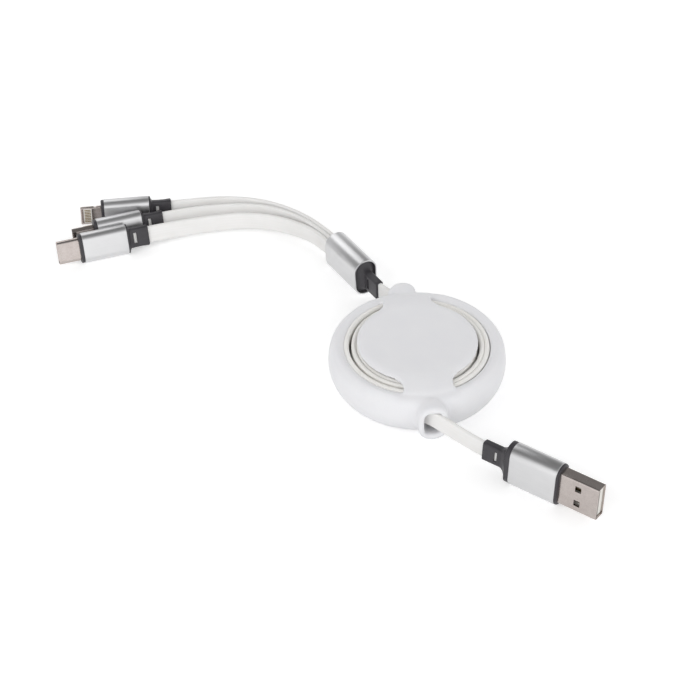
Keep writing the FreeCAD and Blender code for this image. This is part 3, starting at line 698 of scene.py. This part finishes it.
# Angle past which a cable's edges stay sharp, and how far behind the front of a strain relief it stops.
CABLE_SHARP = 50.0
CABLE_STOP = 0.65


def spline_points(name: str, route: Array, resolution: int = 14) -> Array:
    """Smooth line of a cable: a quadratic NURBS with the route's points as control points.

    Args:
        name: Name of the helper curve.
        route: Control points in millimetres.
        resolution: Points between two control points.

    Returns:
        Points along the line in millimetres.
    """
    curve = bpy.data.curves.new(name + "_line", "CURVE")
    curve.dimensions = "3D"
    curve.resolution_u = resolution
    spline = curve.splines.new("NURBS")
    spline.points.add(len(route) - 1)
    spline.points.foreach_set("co", np.concatenate([route * MM, np.ones((len(route), 1))], axis=1).ravel())
    spline.order_u = 3
    spline.use_endpoint_u = True
    helper = linked(name + "_line", curve)
    line = vertex_points(applied(helper))
    bpy.data.objects.remove(helper)
    return line


@dataclass(frozen=True)
class CableRun:
    """One free cable: its route, its lean at the far end, and what it joins."""

    name: str
    route: Array
    roll: float
    exit: tuple[float, float, float]
    far_end: str
    with_pieces: tuple[Obj, ...]
    body: str
    blend_from: Array | None = None
    blend_to: Array | None = None

    def build(self) -> Obj:
        """Returns:
            The cable piece.
        """
        line = spline_points(self.name, self.route)
        run = run_along(line)
        last = np.linalg.norm(self.route[-1] - self.route[-2])
        share = np.clip(run / (run[-1] - last), 0.0, 1.0)
        grid, own = CABLE.sweep(line, self.roll * eased(share))
        mesh = mesh_from_grid(self.name, grid)
        own_attribute(mesh, own)
        smooth_by_angle(mesh, CABLE_SHARP)
        piece = show(self.name + "_jacket", mesh, CABLE_TPE)
        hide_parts(self.name)
        if self.blend_from is None:
            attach(piece, self.body)
        else:
            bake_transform(piece)
        LOG.info("cable %s: %.1f mm", self.name, run[-1])
        return piece


@dataclass
class Coil:
    """The wound cable: two strands laid together from the hub to the outside.

    Each strand keeps one radius across a window and steps in by one pitch while it is hidden under a neck.
    """

    outer_r: float = 24.15
    hub_r: float = 10.6
    pitch: float = 2.05
    mid_z: float = 14.4
    end_turn: float = 84.0
    neck_turn: float = 90.0
    slack: float = 0.4
    step_share: float = 0.2
    steps_per_turn: int = 120
    wound: FlatCable = FlatCable(corner=0.72)

    def strand(self, end_degrees: float, slack: float) -> Array:
        """Centreline of one strand from its outer end inwards, clockwise.

        The radius is the start less one pitch for each half turn passed, with a smooth step at each neck.

        Args:
            end_degrees: Direction of the outer end.
            slack: How far the strand lies inside the rim, which leaves a thin dark line.

        Returns:
            Points in millimetres.
        """
        start = self.outer_r - self.wound.thick / 2 - slack
        half_turns = (start - self.hub_r - self.wound.thick / 2) / self.pitch
        passed = np.linspace(0.0, half_turns, int(half_turns * self.steps_per_turn / 2))
        phase = passed + (self.neck_turn - self.end_turn) / 180.0 - 0.5
        ramp = np.clip((phase - np.floor(phase) - 0.5) / self.step_share + 0.5, 0.0, 1.0)
        dropped = np.maximum(np.floor(phase) + eased(ramp), 0.0)
        angle = np.radians(end_degrees) - np.pi * passed
        radius = start - self.pitch * dropped
        height = np.full_like(angle, self.mid_z)
        return np.stack([radius * np.cos(angle), radius * np.sin(angle), height], axis=1)

    def build(self) -> list[Obj]:
        """Makes both strands.

        Returns:
            The two strand pieces.
        """
        made = []
        for name, end, slack in (("coil_strand_front", 180 + self.end_turn, 0.0),
                                 ("coil_strand_back", self.end_turn, self.slack)):
            path = self.strand(end, slack)
            grid, own = self.wound.sweep(path, np.zeros(len(path)))
            mesh = mesh_from_grid(name, grid)
            own_attribute(mesh, own)
            smooth_by_angle(mesh, CABLE_SHARP)
            piece = show(name, mesh, COIL_TPE)
            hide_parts("cable_coil")
            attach(piece, "reel")
            made.append(piece)
        return made


# Plugs

# Stations of a strain relief: shares of its length from the front, then distances before its back end. Each
# takes a share of the bead, the last two are rounded in, and the corner radius loses a share of both. The
# slot reaches past both wide sides.
RELIEF_SHARES = (0.0, 0.3, 0.62)
RELIEF_ENDS = (1.2, 0.3, 0.1, 0.0)
RELIEF_WAIST = (0.0, 0.75, 0.75, -0.75, -1.0, -0.7, -0.3)
RELIEF_ROUND = (0.0, 0.0, 0.0, 0.0, 0.0, 0.06, 0.24)
RELIEF_CORNER = 0.6
SLOT_REACH = 4.0
# Stations of a plug's front rim: distances behind its face, and how far each is rounded in.
RIM_BACK = (0.0, 0.1, 0.3)
RIM_INSETS = (0.35, 0.12, 0.0)
# Gap between a moulding and the end of its sleeve, and the angles past which edges stay sharp.
SEAT = 0.02
SLEEVE_SHARP = 35.0
GRIP_SHARP = 38.0


@dataclass(frozen=True)
class Relief:
    """Strain relief common to the plugs and the splitter, in millimetres."""

    width: float = 7.2
    thick: float = 2.9
    length: float = 6.5
    round: float = 0.9
    slot_w: float = 1.1
    slot_h: float = 3.8
    slot_share: float = 0.24
    bead: float = 0.0

    def rows(self, start: float) -> Array:
        """Stations from the flare over a slight waist and bead to a softly rounded end.

        Args:
            start: Front of the relief on the plug's axis.

        Returns:
            Rows of x, width, thickness and corner radius.
        """
        front = start - self.length * np.array(RELIEF_SHARES)
        back = start - self.length + np.array(RELIEF_ENDS)
        inset = self.bead * np.array(RELIEF_WAIST) + np.array(RELIEF_ROUND)
        return np.stack([np.concatenate([front, back]), self.width - 2 * inset, self.thick - 2 * inset,
                         self.round - inset * RELIEF_CORNER], axis=1)

    def slot(self, start: float) -> Array:
        """Slot through the relief.

        Args:
            start: Front of the relief on the plug's axis.

        Returns:
            Two opposite corners of the slot's box.
        """
        middle = np.array([start - self.slot_share * self.length, 0.0, 0.0])
        half = np.array([self.slot_w / 2, SLOT_REACH, self.slot_h / 2])
        return np.stack([middle - half, middle + half])


RELIEF = Relief()


@dataclass(frozen=True)
class PlugBody:
    """Aluminium sleeve over a black moulding with a flare and a strain relief."""

    name: str
    body: str
    place: Place
    width: float
    thick: float
    length: float
    flare: float
    rim: float
    wall: float = 0.5
    edge: float = 0.22
    edge_points: int = 5
    corner_points: int = 13
    under: float = 0.3
    core_inset: float = 0.45
    straight_share: float = 0.35
    flare_points: int = 12
    flare_power: float = 0.75
    relief: Relief = RELIEF

    def _sleeve(self) -> Obj:
        """Makes the sleeve: outside, quarter-round edges and inside as one closed wall.

        Returns:
            The sleeve piece.
        """
        bend = np.linspace(0.0, np.pi / 2, self.edge_points)
        front_x = -self.edge * (1 - np.sin(bend))
        front_in = self.edge * (1 - np.cos(bend))
        outer_front = np.stack([front_x[::-1], front_in[::-1]], axis=1)
        outer_back = np.stack([-self.length - front_x, front_in], axis=1)
        loop = np.concatenate([[[-SEAT, self.wall]], outer_front, outer_back,
                               [[-self.length + SEAT, self.wall]]])
        stations = oval_rows(loop[:, 0], loop[:, 1], self.width, self.thick)
        grid = rounded_grid(stations, self.corner_points)
        mesh = mesh_from_grid(self.name + "_sleeve_skin", grid, ring=True)
        return self._finished(self.name + "_sleeve_skin", mesh, ANODISED, (self.name + "_sleeve",),
                              SLEEVE_SHARP)

    def _finished(self, name: str, mesh: bpy.types.Mesh, finish: Finish, nodes: Iterable[str],
                  angle: float) -> Obj:
        """Moves a mesh from its own axes to its place and shows it.

        Args:
            name: Name of the piece.
            mesh: Its mesh on the plug's own axes.
            finish: Its finish.
            nodes: Construction nodes that it replaces.
            angle: Angle in degrees past which edges stay sharp.

        Returns:
            The piece.
        """
        own = vertex_points(mesh)
        own_attribute(mesh, own)
        write_points(mesh, self.place.out(own))
        smooth_by_angle(mesh, angle)
        piece = show(name, mesh, finish)
        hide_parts(*nodes)
        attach(piece, self.body)
        return piece

    def flare_rows(self, width: float, thick: float, x0: float, x1: float) -> Array:
        """Stations of the hollow-sided change from an oval to the relief.

        Each size goes from the oval's to the relief's by a power of the sine over a quarter turn.

        Args:
            width: Width of the oval.
            thick: Its thickness.
            x0: Where the change begins.
            x1: Where it ends.

        Returns:
            Rows of x, width, thickness and corner radius.
        """
        share = np.linspace(0.0, 1.0, self.flare_points)
        ease = np.sin(share * np.pi / 2) ** self.flare_power
        oval_r = OVAL_SHARE * thick
        return np.stack([x0 + (x1 - x0) * share, width + (self.relief.width - width) * ease,
                         thick + (self.relief.thick - thick) * ease,
                         oval_r + (self.relief.round - oval_r) * ease], axis=1)

    def _moulding(self) -> Obj:
        """Makes the black core: front rim, hidden core, flare, relief and its slot.

        Returns:
            The moulding piece.
        """
        full_w, full_t = self.width - self.under, self.thick - self.under
        back = -self.length - SEAT
        step = self.straight_share * self.flare
        front = oval_rows([*(self.rim - np.array(RIM_BACK)), SEAT], [*RIM_INSETS, 0.0], full_w, full_t)
        core = oval_rows([0.0, back + SEAT], [self.core_inset] * 2, full_w, full_t)
        collar = oval_rows([back, back - step], [0.0, 0.0], full_w, full_t)
        flare = self.flare_rows(full_w, full_t, back - step, back - self.flare)[1:]
        rows = np.concatenate([front, core, collar, flare, self.relief.rows(back - self.flare)[1:]])
        mesh = mesh_from_grid("moulding", rounded_grid(rows))
        mesh = cut_boxes(mesh, [self.relief.slot(back - self.flare)])
        return self._finished(self.name + "_grip", mesh, BLACK_PVC, (self.name + "_moulding",), GRIP_SHARP)

    def relief_end(self) -> float:
        """Back end of the strain relief on the plug's axis."""
        return -self.length - SEAT - self.flare - self.relief.length

    def cable_end(self) -> float:
        """Where the cable ends inside the relief."""
        return -self.length - SEAT - self.flare - CABLE_STOP

    def build(self) -> list[Obj]:
        """Makes sleeve and moulding.

        Returns:
            The two pieces.
        """
        return [self._sleeve(), self._moulding()]


@dataclass(frozen=True)
class Splitter(PlugBody):
    """Aluminium sleeve whose black core is sunk at both ends and carries a domed strain relief."""

    dome: float = 2.9
    sunk: float = 0.5
    recess: float = 0.9

    def _moulding(self) -> Obj:
        """Makes the core: sunk front, sunk back, dome and relief with its slot.

        Returns:
            The moulding piece.
        """
        inset = self.wall + SEAT
        back = self.recess - self.length
        end = back - self.dome
        core_w, core_t = self.width - 2 * inset, self.thick - 2 * inset
        core = oval_rows([-self.sunk, back], [0.0, 0.0], core_w, core_t)
        flare = self.flare_rows(core_w, core_t, back, end)[1:]
        rows = np.concatenate([core, flare, self.relief.rows(end)[1:]])
        mesh = mesh_from_grid("moulding", rounded_grid(rows))
        mesh = cut_boxes(mesh, [self.relief.slot(end)])
        return self._finished(self.name + "_grip", mesh, BLACK_PVC, (self.name + "_moulding",), GRIP_SHARP)

    def core_end(self) -> float:
        """Where the dome ends and the relief begins."""
        return self.recess - self.length - self.dome


# Whole object

# Where each small plug lies: its spot on the floor in millimetres, then turn and roll in degrees.
SMALL_PLUGS = {"oval": ((-105.3, 82.4), 191.0, 23.0), "keystone": ((-99.4, 89.9), 191.0, 23.0),
               "tab": ((-96.2, 100.9), 179.3, 16.0)}
# Middle points of the branch cables, from the splitter outwards, and the row in which each leaves it.
BRANCHES = {"oval": (1, ((-27.0, 80.6, 5.9), (-43.0, 90.6, 5.0), (-62.0, 90.6, 4.7))),
            "keystone": (0, ((-27.3, 85.0, 5.9), (-41.0, 95.4, 5.0), (-58.0, 97.0, 4.7))),
            "tab": (-1, ((-26.6, 87.0, 5.9), (-40.0, 98.2, 5.0), (-55.5, 102.0, 4.7)))}


@dataclass
class ChargingCable:
    """The object: reel, coil, plugs, splitter and the free cables between them."""

    lead_r: float = 25.475
    lead_turns: tuple[float, float] = (56.5, 74.943)
    lead_z: float = 11.5
    mouth_y: float = 30.8
    usb_mouth_x: float = -0.2
    usb_mouth_rise: float = 0.8
    tail_mouth_x: float = 0.0
    tail_mouth_rise: float = -0.3
    collar_end: float = 32.8
    exit_z: float = 11.2
    straight: float = 3.4
    tail_straight: float = 2.8
    branch_inside: float = 3.9
    offset: float = 1.75
    usb_section: tuple[float, float] = (15.4, 7.6)
    small_section: tuple[float, float] = (10.8, 5.5)
    split_section: tuple[float, float] = (13.8, 8.9)
    usb_spot: tuple[float, float] = (35.27, -62.04)
    usb_yaw: float = -43.0
    usb_roll: float = -4.5
    split_spot: tuple[float, float] = (-17.4, 67.1)
    split_yaw: float = 112.0
    split_tilt: float = -3.5
    pieces: dict[str, list[Obj]] = field(default_factory=dict)

    def _plugs(self) -> dict[str, PlugBody]:
        """Sizes and places of the four plugs and the splitter.

        Returns:
            The plugs and the splitter by name.
        """
        usb_z = lying(*self.usb_section, self.usb_roll)
        single = Place((*self.usb_spot, usb_z), self.usb_yaw, 0.0, self.usb_roll)
        made = {"usb": PlugBody("usb", "usb_end", single, *self.usb_section, length=16.9, flare=4.8, rim=0.7)}
        for name, (spot, yaw, roll) in SMALL_PLUGS.items():
            place = Place((*spot, lying(*self.small_section, roll)), yaw, 0.0, roll)
            made[name] = PlugBody(name, "branch_end", place, *self.small_section, length=16.0, flare=1.4,
                                  rim=1.1, relief=Relief(bead=0.08))
        split_z = lying(*self.split_section, 0.0)
        split = Place((*self.split_spot, split_z), self.split_yaw, self.split_tilt)
        made["splitter"] = Splitter("splitter", "branch_end", split, *self.split_section, length=20.4,
                                    flare=0.0, rim=0.0, relief=Relief(length=7.4))
        return made

    def _tips(self) -> None:
        """Dresses the metal and plastic of the plug tips."""
        for name, finish, bevel in (
                ("usb_shell", NICKEL, 0.07), ("usb_tongue", WHITE_LCP, 0.05),
                ("usb_contacts", GOLD_FLASH, 0.03), ("oval_shell", NICKEL, 0.06),
                ("oval_insulator", BLACK_LCP, 0.0), ("oval_contacts", GOLD_FLASH, 0.0),
                ("keystone_shell", NICKEL, 0.05), ("keystone_hooks", NICKEL, 0.02),
                ("keystone_tongue", BLACK_LCP, 0.0), ("keystone_contacts", GOLD_FLASH, 0.0),
                ("tab_blade", NICKEL, 0.05), ("tab_block", WHITE_LCP, 0.0),
                ("tab_contacts", GOLD_FLASH, 0.0)):
            self.pieces.setdefault(name.split("_")[0], []).append(dress_node(name, finish, bevel))

    def _lead(self, side: float, mouth_x: float, rise: float) -> list[tuple[float, float, float]]:
        """Start of a free cable: two points beside the coil and one inside a collar.

        Args:
            side: 1 for the back collar, -1 for the front one.
            mouth_x: Distance of the cable from the collar's middle.
            rise: How far it lies above its lead there.

        Returns:
            Three points in millimetres.
        """
        turns = np.radians(self.lead_turns)
        reach = side * self.lead_r
        beside = [(reach * math.cos(t), reach * math.sin(t), self.lead_z) for t in turns]
        return [*beside, (side * mouth_x, side * self.mouth_y, self.lead_z + rise)]

    def _into(self, plug: PlugBody) -> list[Array]:
        """Last two points of a cable: straight into a plug's strain relief."""
        ends = (plug.relief_end() - self.straight, plug.cable_end())
        return [plug.place.out([x, 0, 0]) for x in ends]

    def _free_cables(self, plugs: dict[str, PlugBody]) -> None:
        """Lays the free cables on the routes of the construction.

        The front cable's point in its collar is moved by about a millimetre, to where the photograph has it.

        Args:
            plugs: The plugs and the splitter by name.
        """
        usb, split = plugs["usb"], plugs["splitter"]
        route = np.array([*self._lead(-1.0, self.usb_mouth_x, self.usb_mouth_rise), *self._into(usb)])
        CableRun("usb_cable", route, usb.place.roll, (0.0, -self.collar_end, self.exit_z), "plug",
                 tuple(self.pieces["usb"]), "usb_end", route[2], route[3]).build()
        end = split.core_end()
        route = np.array([*self._lead(1.0, self.tail_mouth_x, self.tail_mouth_rise),
                          split.place.out([end - split.relief.length - self.tail_straight, 0, 0]),
                          split.place.out([end - CABLE_STOP, 0, 0])])
        CableRun("tail_cable", route, 0.0, (0.0, self.collar_end, self.exit_z), "fitting",
                 tuple(self.pieces["splitter"]), "branch_end", route[2], route[3]).build()
        for name, (row, middle) in BRANCHES.items():
            plug = plugs[name]
            across = row * self.offset
            start = split.place.out([[-self.branch_inside, across, 0], [self.straight, across, 0]])
            route = np.array([*start, *middle, *self._into(plug)])
            leaves = split.place.out([0.0, across, 0])
            CableRun(name + "_cable", route, plug.place.roll, tuple(leaves), "plug", tuple(self.pieces[name]),
                     "branch_end").build()

    def build(self) -> None:
        """Builds every piece of the object in order."""
        Case().build()
        Coil().build()
        plugs = self._plugs()
        for name, plug in plugs.items():
            self.pieces.setdefault(name, []).extend(plug.build())
        self._tips()
        self._free_cables(plugs)


# Studio


@dataclass(frozen=True)
class Lamp:
    """One square soft lamp: where it hangs and its side in metres, its power, and whether metal shows it."""

    name: str
    place: tuple[float, float, float]
    size: float
    watts: float
    mirrored: bool


LAMPS = (Lamp("key_soft", (-0.85, -0.5, 0.7), 0.7, 3.2, False),
         Lamp("side_soft", (0.8, -0.5, 0.6), 0.6, 1.2, False),
         Lamp("back_soft", (-0.25, 0.68, 0.62), 0.6, 1.2, True),
         Lamp("rim_soft", (0.3, 0.8, 0.5), 0.6, 1.2, False))


@dataclass
class Studio:
    """Pale floor, soft light and the camera."""

    target: tuple[float, float, float] = (-19.36, 20.38, 0.0)
    azimuth: float = -8.3
    elevation: float = 40.5
    distance: float = 850.0
    lens: float = 129.4
    sensor: float = 36.0
    floor_half: float = 1.6
    floor_z: float = -2e-5
    floor_colour: str = "#EFEFEF"
    floor_lift: float = 0.38
    dome_stops: tuple[tuple[float, float], ...] = (
        (0.0, 1.3), (0.64, 1.3), (0.8, 0.42), (0.92, 0.3), (1.0, 0.34))
    back_span: tuple[float, float] = (-0.4, 0.05)
    back_level: float = 0.62
    card_ways: tuple[tuple[float, float, float], ...] = ((-0.8, 0.18, 0.57), (0.22, 0.69, 0.69))
    card_span: tuple[float, float] = (0.87, 0.96)
    card_level: float = 0.36

    def _floor(self) -> None:
        """Pale floor: white to the eye, keeping the soft shadow of the object."""
        half = self.floor_half
        mesh = bpy.data.meshes.new("floor")
        corners = ((-half, -half), (half, -half), (half, half), (-half, half))
        mesh.from_pydata([(x, y, self.floor_z) for x, y in corners], [], [(0, 1, 2, 3)])
        floor = linked("floor", mesh)
        paint = bpy.data.materials.new("pale_floor")
        paint.use_nodes = True
        tree = paint.node_tree
        tree.nodes.clear()
        matte = add_node(tree, "ShaderNodeBsdfDiffuse", None, {"Color": linear(self.floor_colour)})
        path = add_node(tree, "ShaderNodeLightPath")
        seen = add_node(tree, "ShaderNodeMath", {"operation": "MAXIMUM"}, {
            0: path.outputs["Is Camera Ray"], 1: path.outputs["Is Glossy Ray"]})
        lift = add_node(tree, "ShaderNodeMath", {"operation": "MULTIPLY"}, {
            0: seen.outputs[0], 1: self.floor_lift})
        glow = add_node(tree, "ShaderNodeEmission", None, {
            "Color": (1, 1, 1, 1), "Strength": lift.outputs[0]})
        both = add_node(tree, "ShaderNodeAddShader", None, {0: matte.outputs[0], 1: glow.outputs[0]})
        add_node(tree, "ShaderNodeOutputMaterial", None, {"Surface": both.outputs[0]})
        mesh.materials.append(paint)

    def _world(self) -> None:
        """Surroundings: white to the camera, and for light a dome that is bright low down and dim overhead.

        The dome is dimmer behind the object than before it. Two dark cards, at the left and behind, give the
        metal its dark streaks.
        """
        world = bpy.data.worlds.new("pale_studio")
        world.use_nodes = True
        tree = world.node_tree
        tree.nodes.clear()
        aim = add_node(tree, "ShaderNodeTexCoord")
        height = add_node(tree, "ShaderNodeSeparateXYZ", None, {0: aim.outputs["Generated"]})
        dome = add_node(tree, "ShaderNodeValToRGB", None, {0: height.outputs["Z"]})
        stops = self.dome_stops
        ramp = dome.color_ramp.elements
        ramp[0].position, ramp[0].color = stops[0][0], (stops[0][1],) * 3 + (1.0,)
        ramp[1].position, ramp[1].color = stops[-1][0], (stops[-1][1],) * 3 + (1.0,)
        for at, level in stops[1:-1]:
            ramp.new(at).color = (level, level, level, 1.0)
        path = add_node(tree, "ShaderNodeLightPath")
        behind = add_node(tree, "ShaderNodeMapRange", None, {
            "Value": height.outputs["Y"], "From Min": self.back_span[0], "From Max": self.back_span[1],
            "To Min": 1.0, "To Max": self.back_level})
        level = behind
        for way in self.card_ways:
            near = add_node(tree, "ShaderNodeVectorMath", {"operation": "DOT_PRODUCT"}, {
                0: aim.outputs["Generated"], 1: way})
            card = add_node(tree, "ShaderNodeMapRange", None, {
                "Value": near.outputs["Value"], "From Min": self.card_span[0], "From Max": self.card_span[1],
                "To Min": 1.0, "To Max": self.card_level})
            level = add_node(tree, "ShaderNodeMath", {"operation": "MULTIPLY"}, {
                0: level.outputs[0], 1: card.outputs[0]})
        light = add_node(tree, "ShaderNodeBackground", None, {
            "Color": dome.outputs[0], "Strength": level.outputs[0]})
        white = add_node(tree, "ShaderNodeBackground", None, {"Color": (1, 1, 1, 1), "Strength": 1.0})
        pick = add_node(tree, "ShaderNodeMixShader", None, {
            0: path.outputs["Is Camera Ray"], 1: light.outputs[0], 2: white.outputs[0]})
        add_node(tree, "ShaderNodeOutputWorld", None, {"Surface": pick.outputs[0]})
        bpy.context.scene.world = world

    def _hang(self, lamp: Lamp) -> None:
        """Hangs one lamp, aimed at the middle of the object.

        Args:
            lamp: The lamp.
        """
        light = bpy.data.lights.new(lamp.name, "AREA")
        light.shape = "SQUARE"
        light.size = lamp.size
        light.energy = lamp.watts
        made = linked(lamp.name, light)
        made.location = lamp.place
        made.visible_glossy = lamp.mirrored
        aim = Vector(self.target) * MM - made.location
        made.rotation_euler = aim.to_track_quat("-Z", "Y").to_euler()

    def _camera(self) -> None:
        """Camera at the photograph's angle."""
        a, e = math.radians(self.azimuth), math.radians(self.elevation)
        back = Vector((math.sin(a) * math.cos(e), -math.cos(a) * math.cos(e), math.sin(e)))
        data = bpy.data.cameras.new("camera")
        data.lens = self.lens
        data.sensor_width = self.sensor
        data.clip_start = 0.05
        data.clip_end = 20.0
        camera = linked("camera", data)
        camera.location = (Vector(self.target) + back * self.distance) * MM
        camera.rotation_euler = (-back).to_track_quat("-Z", "Y").to_euler()
        bpy.context.scene.camera = camera

    def build(self) -> None:
        """Sets up the studio."""
        self._camera()
        self._floor()
        self._world()
        for lamp in LAMPS:
            self._hang(lamp)
        bpy.context.scene.view_settings.view_transform = "Standard"


def main() -> None:
    """Builds studio and object."""
    logging.basicConfig(level=logging.INFO, format="%(name)s %(message)s")
    Studio().build()
    ChargingCable().build()


if __name__ == "__main__":
    main()
